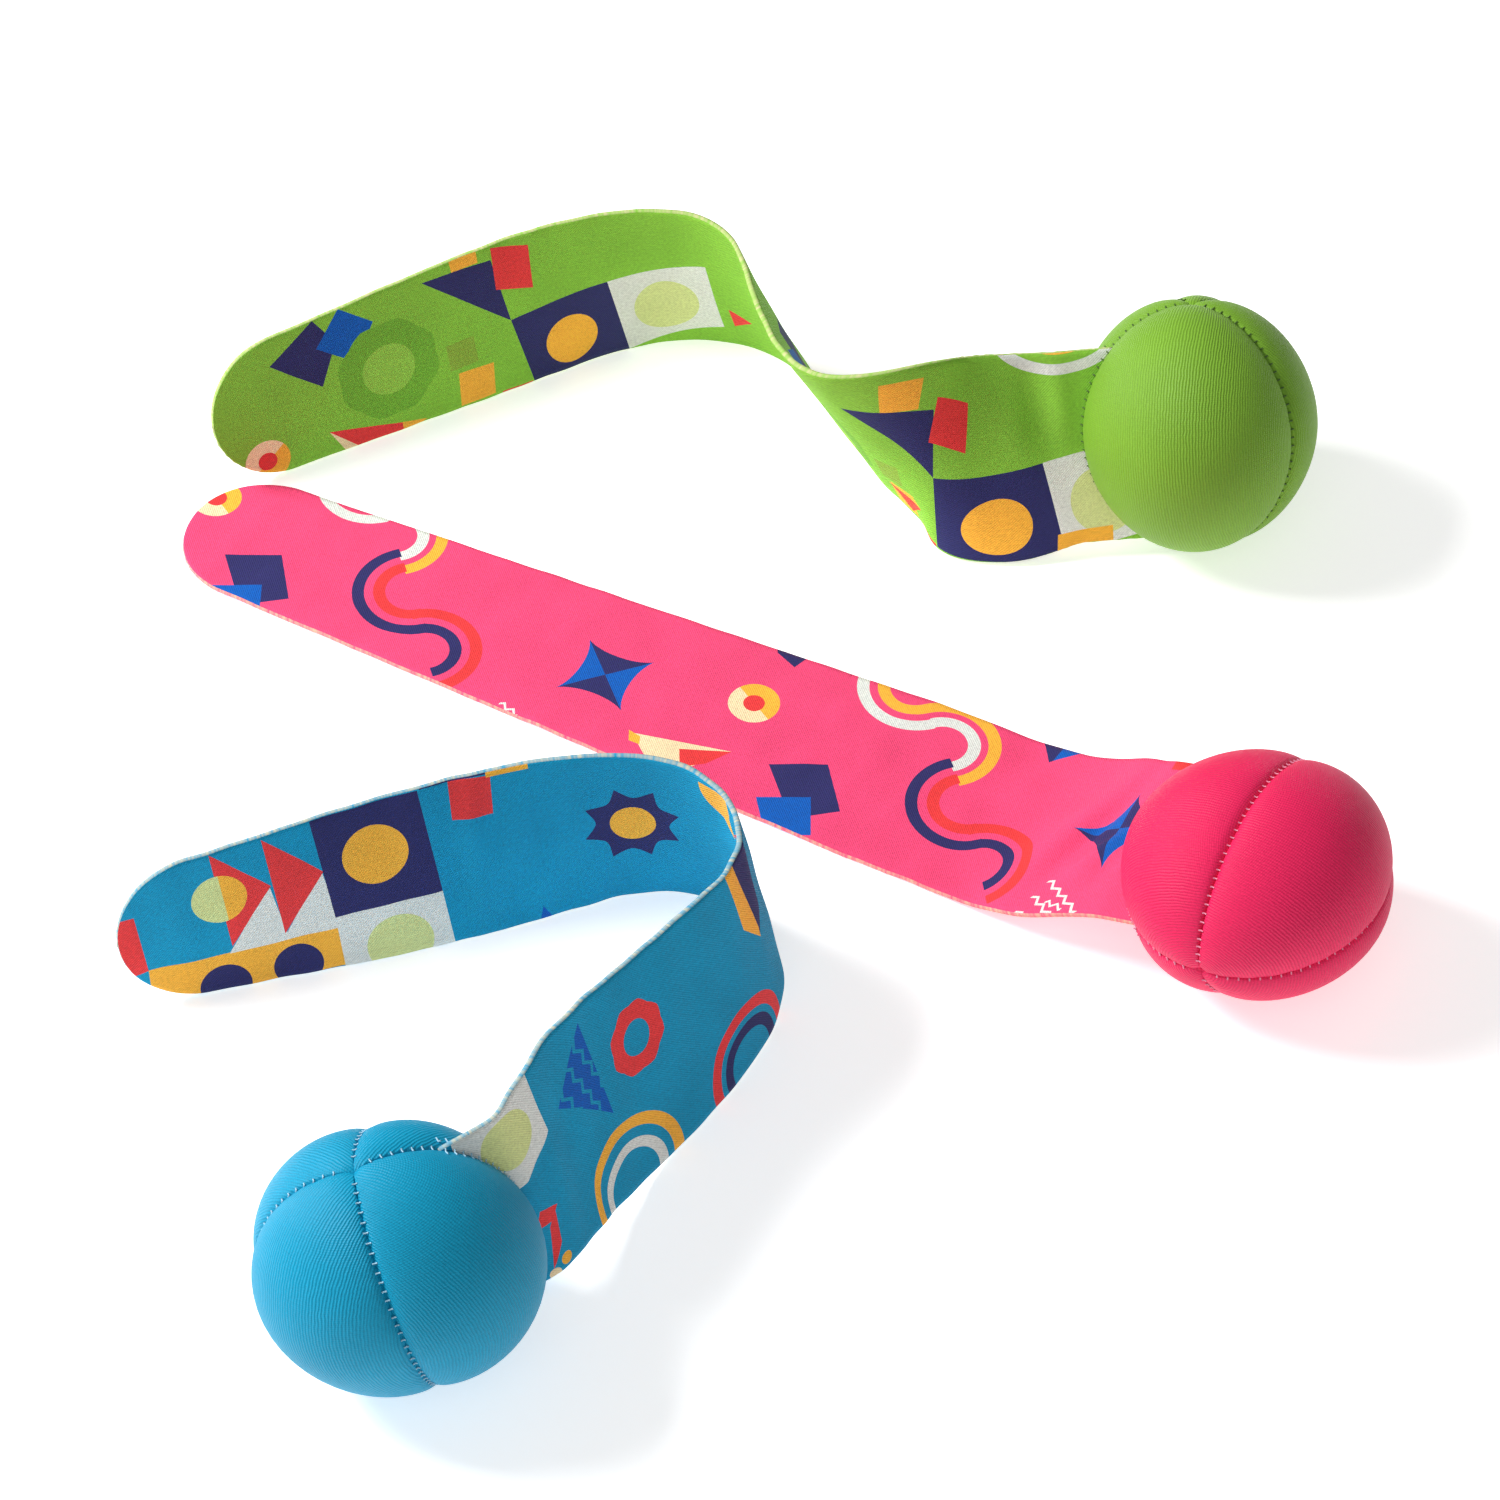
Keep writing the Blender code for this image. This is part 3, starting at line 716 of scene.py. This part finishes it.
class Nodes:
    """A short way to write a node tree."""

    def __init__(self, name):
        self.material = bpy.data.materials.new(name)
        self.material.use_nodes = True
        self.tree = self.material.node_tree
        self.shader = self.tree.nodes["Principled BSDF"]
        self.shader.inputs["Roughness"].default_value = 0.85

    def add(self, kind, inputs, output=0, **settings):
        node = self.tree.nodes.new(kind)
        for key, value in settings.items():
            setattr(node, key, value)
        for key, value in inputs.items():
            if isinstance(value, bpy.types.NodeSocket):
                self.tree.links.new(value, node.inputs[key])
            else:
                node.inputs[key].default_value = value
        return node.outputs[output]

    def math(self, operation, *values):
        return self.add("ShaderNodeMath", dict(enumerate(values)), operation=operation)

    def vector(self, operation, *values, output=0):
        inputs = dict(enumerate(values))
        return self.add("ShaderNodeVectorMath", inputs, output, operation=operation)

    def scaled(self, vector, factor):
        inputs = {0: vector, "Scale": factor}
        return self.add("ShaderNodeVectorMath", inputs, operation="SCALE")

    def dot(self, vector, way):
        return self.vector("DOT_PRODUCT", vector, way, output=1)

    def split(self, vector):
        """The x and the y of a vector."""
        return self.add("ShaderNodeSeparateXYZ", {0: vector}).node.outputs[:2]

    def mix(self, mask, under, over):
        colours = [c if isinstance(c, bpy.types.NodeSocket) else (*c, 1) for c in (under, over)]
        inputs = {0: mask, 6: colours[0], 7: colours[1]}
        return self.add("ShaderNodeMix", inputs, 2, data_type="RGBA")

    def flat(self):
        """The place on the flat pattern, in millimetres."""
        return self.add("ShaderNodeUVMap", {}, uv_map="Flat")

    def noise(self, place, scale, detail=2.0):
        return self.add("ShaderNodeTexNoise", {"Vector": place, "Scale": scale, "Detail": detail})

    def waves(self, value, pitch):
        return self.math("SINE", self.math("MULTIPLY", value, 2 * math.pi / pitch))

    def bump(self, height, strength, distance):
        inputs = {"Height": height, "Strength": strength, "Distance": distance}
        self.link(self.add("ShaderNodeBump", inputs), "Normal")

    def link(self, output, name):
        self.tree.links.new(output, self.shader.inputs[name])

    def sheen(self, weight, tint):
        self.shader.inputs["Sheen Weight"].default_value = weight
        self.shader.inputs["Sheen Roughness"].default_value = 0.4
        self.shader.inputs["Sheen Tint"].default_value = (*tint, 1)

    # Masks of the print: 1 inside the motif and 0 outside

    def away(self, place, centre):
        return self.vector("DISTANCE", place, (*centre, 0), output=1)

    def disc(self, place, centre, radius):
        return self.math("LESS_THAN", self.away(place, centre), radius)

    def ring(self, place, centre, radius, width):
        return self.math("COMPARE", self.away(place, centre), radius, width / 2)

    def beyond(self, place, corner, way):
        """1 on the side of the line through corner that way points to."""
        dot = self.dot(place, (*way, 0))
        return self.math("GREATER_THAN", dot, corner[0] * way[0] + corner[1] * way[1])

    def both(self, *masks):
        result = masks[0]
        for mask in masks[1:]:
            result = self.math("MULTIPLY", result, mask)
        return result

    def without(self, mask, hole):
        return self.math("GREATER_THAN", self.math("SUBTRACT", mask, hole), 0.5)

    def polygon(self, place, *corners):
        pairs = list(zip(corners, corners[1:] + corners[:1]))
        turn = sum(a[0] * b[1] - a[1] * b[0] for a, b in pairs)
        sign = 1 if turn > 0 else -1
        ways = [(-sign * (b[1] - a[1]), sign * (b[0] - a[0])) for a, b in pairs]
        return self.both(*(self.beyond(place, a, way) for (a, _), way in zip(pairs, ways)))

    def turned(self, place, centre, turn):
        """The x and the y of the place, from the centre and along axes turned by turn degrees."""
        cos, sin = math.cos(math.radians(turn)), math.sin(math.radians(turn))
        local = self.vector("SUBTRACT", place, (*centre, 0))
        return self.dot(local, (cos, sin, 0)), self.dot(local, (-sin, cos, 0))

    def star(self, place, centre, points, outer, inner, turn=0.0, curve=0.5):
        """A star whose points are joined by hollow curves."""
        x, y = self.split(self.vector("SUBTRACT", place, (*centre, 0)))
        angle = self.math("ARCTAN2", y, x)
        turns = self.math("MULTIPLY_ADD", angle, points / (2 * math.pi), 100 + turn)
        fold = self.math("PINGPONG", turns, 0.5)  # 0 at a point of the star, 0.5 at a gap
        near = self.math("SUBTRACT", 1.0, self.math("MULTIPLY", fold, 2.0))
        rise = self.math("POWER", near, 1 / curve)
        reach = self.math("MULTIPLY_ADD", rise, outer - inner, inner)
        return self.math("LESS_THAN", self.away(place, centre), reach)

    def four_points(self, place, centre, reach, turn):
        """A hollow-sided star of four points, and the two opposite quarters of it."""
        x, y = self.turned(place, centre, turn)
        size = [self.math("POWER", self.math("ABSOLUTE", d), 0.7) for d in (x, y)]
        star = self.math("LESS_THAN", self.math("ADD", *size), reach**0.7)
        return star, self.both(star, self.math("LESS_THAN", self.math("MULTIPLY", x, y), 0.0))

    def zigzag(self, place, centre, turn, half_length, height, pitch, width):
        """A zigzag line across a motif."""
        x, y = self.turned(place, centre, turn)
        wave = self.math("PINGPONG", self.math("ADD", x, 100.0), pitch / 2)
        wave = self.math("MULTIPLY", wave, 2 * height / pitch)
        line = self.math("COMPARE", self.math("SUBTRACT", y, wave), -height / 2, width / 2)
        return self.both(line, self.math("COMPARE", x, 0.0, half_length))


NAVY = linear(44, 44, 100)
RED = linear(236, 60, 62)
ORANGE = linear(252, 182, 62)
WHITE = linear(226, 228, 222)
CREAM = linear(250, 222, 176)
PALE = linear(214, 222, 150)
DEEP_BLUE = linear(0, 92, 184)
GREEN_TAIL = linear(136, 196, 62)
PINK_TAIL = linear(246, 74, 122)
BLUE_TAIL = linear(6, 148, 190)


# The prints. Each gives its colours and their masks from the bottom layer up, in mm on the flat
# tail. p is the place on the tail, and q the place in the repeated print.



def green_print(n, p, q):
    """Motifs of the green tail."""
    yield NAVY, n.polygon(q, (244, 20.5), (258, 12), (245, 0.5), (239, 12))
    yield DEEP_BLUE, n.polygon(q, (236.5, 21), (228, 13.5), (235, 4), (244.5, 12))
    yield linear(116, 178, 52), n.star(q, (226.5, -2), 8, 14.6, 13.6, 0.5, 1.0)
    yield linear(146, 200, 72), n.disc(q, (226.5, -2), 7.4)
    yield RED, n.polygon(q, (246, -13.5), (219, -21), (236, -24))
    yield CREAM, n.polygon(q, (246, -13.5), (242.5, -21), (236, -24))
    yield ORANGE, n.polygon(q, (226, -19), (219, -21), (226, -23.5))
    yield ORANGE, n.polygon(q, (197, 28), (197, 19), (204.5, 18.6), (205, 28))
    yield NAVY, n.polygon(q, (213, 19), (193.5, 18.5), (191, -1.7))
    yield RED, n.polygon(q, (193, 22), (183, 19.5), (183.5, 6), (193.5, 9))
    yield linear(140, 176, 60), n.polygon(q, (210, -2), (202, -2), (202, -10), (210, -10))
    yield ORANGE, n.polygon(q, (208, -11.5), (198, -12), (199, -21.5), (209, -21.5))
    yield RED, n.polygon(q, (197, -22), (188, -22.5), (188, -26), (197, -26))
    yield NAVY, n.polygon(q, (191, -1.7), (163.5, 1.3), (159, -24), (187.5, -23))
    yield ORANGE, n.disc(q, (175, -14), 7.5)
    yield WHITE, n.polygon(q, (163.5, 1.3), (136.5, 5.4), (133, -18.3), (159, -24))
    yield PALE, n.disc(q, (148, -10), 8.8)
    yield RED, n.polygon(q, (131, -10), (124.5, -13), (130, -17))
    yield RED, n.polygon(p, (57, -16.5), (43, -19), (50, -25))
    yield ORANGE, n.polygon(p, (57, -16.5), (47, -16), (43, -19))
    yield ORANGE, n.polygon(p, (9, -22), (-6, -21), (-6, -30), (10, -30))
    yield WHITE, n.ring(p, (5, 39.5), 18.6, 2.8)
    yield ORANGE, n.disc(p, (5, 39.5), 14.8)
    donut = (263.5, -15)
    yield RED, n.disc(q, donut, 6)
    yield CREAM, n.both(n.ring(q, donut, 4.4, 3.6), n.beyond(q, donut, (0.6, 0.8)))
    yield ORANGE, n.both(n.ring(q, donut, 4.4, 3.6), n.beyond(q, donut, (-0.6, -0.8)))


def pink_print(n, p, q):
    """Motifs of the pink tail."""
    yield NAVY, n.polygon(q, (261.5, 9), (248.5, 2.5), (239, 15), (249, 22.5))
    yield DEEP_BLUE, n.polygon(q, (259.5, 20), (247.5, 14), (242, 25), (252, 30))
    donut = (274, -7.5)
    yield RED, n.disc(q, donut, 2.8)
    yield CREAM, n.both(n.ring(q, donut, 4.6, 3.8), n.beyond(q, donut, (0.5, 0.85)))
    yield ORANGE, n.both(n.ring(q, donut, 4.6, 3.8), n.beyond(q, donut, (-0.5, -0.85)))
    # A double ribbon that winds from side to side: each arc's centre, the side it bulges to, and
    # the colour and radius of its two bands
    side = (0.72, 0.69)
    for centre, bulge, outer, inner in (
        ((240.6, -30.6), 1, (WHITE, 13.0), (ORANGE, 7.8)),
        ((226.2, -16.4), -1, (ORANGE, 12.4), (WHITE, 7.5)),
        ((212.5, -1.7), 1, (NAVY, 13.8), (RED, 8.4)),
        ((199.2, 15.0), -1, (RED, 12.8), (NAVY, 7.6)),
    ):
        way = (bulge * side[0], bulge * side[1])
        kept = n.beyond(q, (centre[0] - 0.4 * way[0], centre[1] - 0.4 * way[1]), way)
        for colour, radius in (outer, inner):
            yield colour, n.both(n.ring(q, centre, radius, 3.1), kept)
    for place, centre, reach, turn in ((q, (155, 1.8), 13.0, 46), (p, (10.4, -2.3), 13.0, 8)):
        star, quarters = n.four_points(place, centre, reach, turn)
        if place is q:
            far = n.beyond(p, (126, 0), (1, 0))
            star, quarters = n.both(star, far), n.both(quarters, far)
        yield NAVY, star
        yield DEEP_BLUE, quarters
    yield CREAM, n.polygon(p, (140, 16), (115, 10.5), (122, 20), (134, 21))
    yield RED, n.polygon(p, (115, 10.5), (127, 15.5), (124, 21), (119, 17))
    yield ORANGE, n.polygon(p, (141, 15.5), (137.5, 16.2), (136.5, 18.6), (139.5, 18.6))
    yield NAVY, n.polygon(p, (120, -24.5), (114, -22), (112, -28), (122, -28))
    yield NAVY, n.polygon(p, (50, -29), (39, -29), (45, -21.8))
    yield DEEP_BLUE, n.polygon(p, (44, -29), (38, -29), (44.4, -22.6))
    for step in range(3):
        yield WHITE, n.zigzag(p, (14 + 1.5 * step, 20.6 + 5.4 * step), -35, 8, 1.5, 3.8, 0.9)
    yield WHITE, n.zigzag(q, (171, 22.8), -15, 3, 1.4, 3, 0.8)
    yield RED, n.polygon(p, (6.5, -22.5), (-4, -22), (-4, -30), (7, -30))


def blue_print(n, p, q):
    """Motifs on the side of the blue tail that shows past its turn."""
    yield ORANGE, n.polygon(q, (270, -9.5), (223, -10), (223, -21), (270, -21))
    for centre in ((253, -19), (235.5, -18)):
        yield NAVY, n.disc(q, centre, 6)
    yield RED, n.polygon(q, (271.5, 7), (278, 7), (278, -11), (270, -9.6))
    for shift in (0, 12.7):
        yield WHITE, n.polygon(q, (251 - shift, -10), (239 - shift, 7), (236.5 - shift, -10))
        yield RED, n.polygon(q, (251.5 - shift, 20), (238.5 - shift, 6.4), (250 - shift, -8))
    yield ORANGE, n.both(n.disc(q, (251, 6.6), 6.7), n.beyond(q, (250, 6.6), (-1, 0.05)))
    yield PALE, n.both(n.disc(q, (251, 6.6), 6.7), n.beyond(q, (250, 6.6), (1, -0.05)))
    yield NAVY, n.polygon(q, (227, 21), (200.5, 22), (199, -7.3), (225, -7))
    yield ORANGE, n.disc(q, (213, 7.5), 8)
    yield WHITE, n.polygon(q, (225, -7), (199, -7.2), (198, -30), (224.5, -30))
    yield PALE, n.disc(q, (211, -18.5), 8)
    yield RED, n.polygon(q, (193, 22.6), (183, 21.9), (183.8, 10.8), (193.6, 11.4))
    yield NAVY, n.polygon(q, (200, 22), (184, 22.5), (184, 30), (200, 30))
    yield ORANGE, n.polygon(q, (184, 21.5), (174, 22), (174, 30), (184, 30))
    yield NAVY, n.star(q, (151.5, 1.3), 8, 12.4, 9.0, 0.4, 0.5)
    yield ORANGE, n.disc(q, (151.5, 1.3), 5.6)
    yield DEEP_BLUE, n.polygon(q, (178, -26), (173, -26), (176, -19.5))
    yield ORANGE, n.both(n.disc(q, (125, 22.5), 7), n.beyond(q, (125, 24.5), (-0.2, -1)))
    yield ORANGE, n.polygon(q, (131, 21), (119, 21), (118, 12))
    yield RED, n.polygon(q, (118, 14), (105, 12), (100, 24), (106, 25))


def blue_back_print(n, p, q):
    """Motifs on the side of the blue tail that shows next to its ball."""
    yield NAVY, n.polygon(q, (91, 28), (97, 0), (101, 6), (102, 28))
    yield ORANGE, n.polygon(q, (87, 28), (90, 8), (97, -1), (97, 2), (91.5, 28))
    yield RED, n.ring(q, (82, -26), 14.3, 3.2)
    yield NAVY, n.ring(q, (82, -26), 9.4, 3)
    ring = n.star(q, (49, 8.5), 8, 9.6, 8.8, 0.5, 1.0)
    yield RED, n.without(ring, n.disc(q, (49, 8.5), 4.6))
    triangle = n.polygon(q, (31.5, 24), (20.5, 9), (36.5, -4.5))
    yield DEEP_BLUE, triangle
    for place in ((24, 8), (28.2, 9.8), (32.4, 11.6)):
        yield BLUE_TAIL, n.both(triangle, n.zigzag(q, place, 113, 18, 1.6, 5, 1.0))
    yield ORANGE, n.ring(q, (38, -25.5), 15.3, 3)
    yield WHITE, n.ring(q, (38.5, -26), 10, 2.6)
    yield WHITE, n.polygon(q, (-8, 25), (14.5, 28), (14.5, 9), (4, 3.5), (-10, 4))
    yield PALE, n.disc(q, (4, 16.5), 7.2)
    yield RED, n.polygon(q, (3.5, -6), (8.5, -8.5), (5.5, -11), (1, -10))
    yield RED, n.polygon(q, (7.5, -8.3), (5.5, -18), (1, -23), (4.2, -12))
    yield ORANGE, n.disc(q, (5, -22.9), 1.6)
    yield CREAM, n.disc(q, (1, -24.6), 1.6)


def print_material(name, base, motifs, near, shift):
    """Printed woven fabric, whose print repeats along the tail.

    Nearer the ball than near, the print is moved on by shift, in millimetres. With no shift it
    repeats from the ball on, and near is where the first repeat ends.
    """
    n = Nodes(name)
    place = n.flat()
    u, v = n.split(place)
    if shift is None:
        repeated = n.vector("WRAP", place, (near, 1000, 1000), (REPEAT_START, -1000, -1000))
    else:
        moved = n.scaled((*shift, 0), n.math("LESS_THAN", u, near))
        repeated = n.vector("ADD", place, moved)
    colour = n.add("ShaderNodeRGB", {})
    colour.default_value = (*base, 1)
    for over, mask in motifs(n, place, repeated):
        colour = n.mix(mask, colour, over)
    warp = n.waves(n.math("ADD", u, v), 0.72)
    weft = n.waves(v, 0.62)
    weave = n.math("MULTIPLY_ADD", weft, 0.4, warp)
    soft = n.noise(place, 0.06, 3.0)
    grain = n.noise(place, 1.3, 2.0)
    shade = n.math("MULTIPLY_ADD", n.math("SUBTRACT", soft, 0.5), 0.3, 1.0)
    shade = n.math("MULTIPLY_ADD", n.math("SUBTRACT", grain, 0.5), 0.55, shade)
    shade = n.math("MULTIPLY_ADD", weave, 0.07, shade)
    n.link(n.scaled(colour, shade), "Base Color")
    n.link(n.math("MULTIPLY_ADD", grain, 0.16, 0.72), "Roughness")
    n.shader.inputs["Specular IOR Level"].default_value = 0.25
    n.sheen(0.12, base)
    height = n.math("MULTIPLY_ADD", n.math("SUBTRACT", grain, 0.5), 1.2, weave)
    n.bump(height, 0.7, 0.05 * MM)
    return n.material


def ball_material(name, base, sheen, along):
    """Fine ribbed knit, brushed and slightly shiny."""
    n = Nodes(name)
    place = n.flat()
    u, v = n.split(place)
    rib, cross = (v, u) if along else (u, v)
    wobble = n.math("MULTIPLY_ADD", n.math("SUBTRACT", n.noise(place, 0.35, 2.0), 0.5), 0.7, rib)
    ribs = n.waves(wobble, 0.78)
    loops = n.waves(cross, 0.55)
    knit = n.math("MULTIPLY_ADD", loops, 0.3, ribs)
    grain = n.noise(place, 1.7, 3.0)
    soft = n.noise(place, 0.05, 2.0)
    shade = n.math("MULTIPLY_ADD", knit, 0.09, 1.0)
    shade = n.math("MULTIPLY_ADD", n.math("SUBTRACT", grain, 0.5), 0.4, shade)
    shade = n.math("MULTIPLY_ADD", n.math("SUBTRACT", soft, 0.5), 0.16, shade)
    n.link(n.scaled(base, shade), "Base Color")
    n.link(n.math("MULTIPLY_ADD", grain, 0.2, 0.42), "Roughness")
    n.shader.inputs["Specular IOR Level"].default_value = 0.22
    n.sheen(0.06, sheen)
    height = n.math("MULTIPLY_ADD", n.math("SUBTRACT", grain, 0.5), 1.4, knit)
    n.bump(height, 0.8, 0.06 * MM)
    return n.material


def edge_material(name, base):
    """The cut edge, where the pale inside of the fabric shows, with a little of its face."""
    n = Nodes(name)
    fibres = n.noise(n.flat(), 1.1, 3.0)
    mask = n.math("MULTIPLY_ADD", fibres, 1.8, -0.5)
    mixed = n.mix(mask, base, linear(222, 206, 164))
    n.link(mixed, "Base Color")
    n.bump(fibres, 0.5, 0.1 * MM)
    return n.material


def thread_material(name, base):
    """Sewing thread with a visible twist."""
    n = Nodes(name)
    place = n.add("ShaderNodeTexCoord", {}, "Object")
    waves = {"Vector": place, "Scale": 900.0, "Distortion": 2.0}
    twist = n.add("ShaderNodeTexWave", waves, 1, bands_direction="DIAGONAL")
    n.link(n.mix(twist, tuple(0.7 * c for c in base), base), "Base Color")
    n.shader.inputs["Roughness"].default_value = 0.5
    n.bump(twist, 0.4, 0.05 * MM)
    return n.material


def filling_material():
    """Loose polyester fibre, sealed inside the covers."""
    n = Nodes("fibre_filling")
    place = n.add("ShaderNodeTexCoord", {}, "Object")
    fibres = n.noise(place, 700.0, 6.0)
    n.link(n.mix(fibres, linear(200, 198, 190), linear(246, 245, 240)), "Base Color")
    n.bump(fibres, 0.8, 0.6 * MM)
    return n.material


# Colours, and for each side of the tail its motifs, near and shift, as in print_material
LOOKS = {
    "green": {
        "fabric": linear(120, 168, 48),
        "sheen": linear(190, 226, 120),
        "thread": linear(74, 108, 34),
        "base": GREEN_TAIL,
        "prints": ((green_print, 124, (152, 4)),) * 2,
    },
    "pink": {
        "fabric": linear(234, 34, 92),
        "sheen": linear(255, 160, 190),
        "thread": linear(244, 150, 182),
        "base": PINK_TAIL,
        "prints": ((pink_print, 126, (156.5, -1)),) * 2,
    },
    "blue": {
        "fabric": linear(0, 146, 184),
        "sheen": linear(130, 210, 240),
        "thread": linear(168, 214, 236),
        "base": BLUE_TAIL,
        "prints": ((blue_back_print, 112, None), (blue_print, 98, (120, 0))),
    },
}


def make_cover(name, item):
    look = LOOKS[name]
    fabric = ball_material(f"{name}_knit", look["fabric"], look["sheen"], item["ribs_along"])
    return Cover(f"{name}_cover", Ball(item), fabric)


def finish_item(name, item, cover, fibre):
    """Adds the stitching and the tail, and makes the cover and its stitching move with the ball.
    """
    look, ball = LOOKS[name], cover.ball
    path = Path(item, ball)
    cover.surface()
    thread = thread_material(f"{name}_sewing_thread", look["thread"])
    for number in range(4):
        sewn = stitches(f"{name}_stitches_{number + 1}", cover, path, number, thread)
        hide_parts(f"{name}_seam_{number + 1}")
        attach(sewn, f"{name}_ball")
    panels = [f"{name}_panel_{number + 1}" for number in range(4)]
    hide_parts(*panels)
    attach(cover.obj, f"{name}_ball")
    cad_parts[f"{name}_filling"].material_slots[0].material = fibre

    materials = [
        print_material(f"{name}_print_{side}", look["base"], *print_of)
        for side, print_of in zip("ab", look["prints"])
    ]
    materials.append(edge_material(f"{name}_cut_edge", look["base"]))
    root = tail_piece(f"{name}_tail_root", item, ball, path, True, materials)
    tip = tail_piece(f"{name}_tail_tip", item, ball, path, False, materials)
    for piece, node in ((root, "inner"), (tip, "outer")):
        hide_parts(f"{name}_tail_{node}")
    start, end = (tuple(path.at(s, 0.0, 0.0)) for s in (0.0, ROOT_BEND))
    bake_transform(root)
    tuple(start)
    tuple(end)
    hinge = path.at(item["hinge_at"] * MM, 0.0, 0.0)
    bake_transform(tip)


def add_floor():
    mesh = bpy.data.meshes.new("floor")
    signs = [(-1, -1), (1, -1), (1, 1), (-1, 1)]
    corners = [(x * FLOOR_HALF, y * FLOOR_HALF, -FLOOR_DROP) for x, y in signs]
    mesh.from_pydata(corners, [], [(0, 1, 2, 3)])
    floor = bpy.data.objects.new("floor", mesh)
    bpy.context.scene.collection.objects.link(floor)
    n = Nodes("floor")
    n.shader.inputs["Base Color"].default_value = (0.93, 0.93, 0.93, 1)
    n.shader.inputs["Roughness"].default_value = 0.9
    n.shader.inputs["Specular IOR Level"].default_value = 0.1
    n.shader.inputs["Emission Color"].default_value = (1, 1, 1, 1)
    n.shader.inputs["Emission Strength"].default_value = 0.55
    mesh.materials.append(n.material)
    floor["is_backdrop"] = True


def add_light(name, place, size, power, target=(0, 0, 0.03)):
    light = bpy.data.lights.new(name, "AREA")
    light.size = size
    light.energy = power
    obj = bpy.data.objects.new(name, light)
    obj.location = place
    obj.rotation_euler = (Vector(target) - Vector(place)).to_track_quat("-Z", "Y").to_euler()
    bpy.context.scene.collection.objects.link(obj)


def add_world():
    world = bpy.data.worlds.new("studio")
    world.use_nodes = True
    background = world.node_tree.nodes["Background"]
    background.inputs["Color"].default_value = (1, 1, 1, 1)
    background.inputs["Strength"].default_value = 0.28
    bpy.context.scene.world = world


def add_camera():
    camera = bpy.data.objects.new("camera", bpy.data.cameras.new("camera"))
    camera.data.lens = 115
    camera.data.sensor_width = 36
    camera.location = (-0.00188, -0.76397, 0.8792)
    camera.rotation_euler = (math.radians(42), 0, 0)
    bpy.context.scene.collection.objects.link(camera)
    bpy.context.scene.camera = camera


fibre = filling_material()
covers = [make_cover(name, item) for name, item in ITEMS.items()]
shapes = simulate(covers)
for (name, item), cover, shape in zip(ITEMS.items(), covers, shapes):
    cover.settle(shape)
    finish_item(name, item, cover, fibre)
add_floor()
add_world()
add_light("key", (-1.0, 0.25, 0.95), 0.5, 25)
add_light("fill", (-0.2, -1.1, 1.2), 1.0, 3)
add_camera()
bpy.context.scene.view_settings.view_transform = "Standard"

boxes = {
    name: [list(map(float, corner)) for corner in box]
    for name, box in (("cad", cad_box), ("visual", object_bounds()))
}
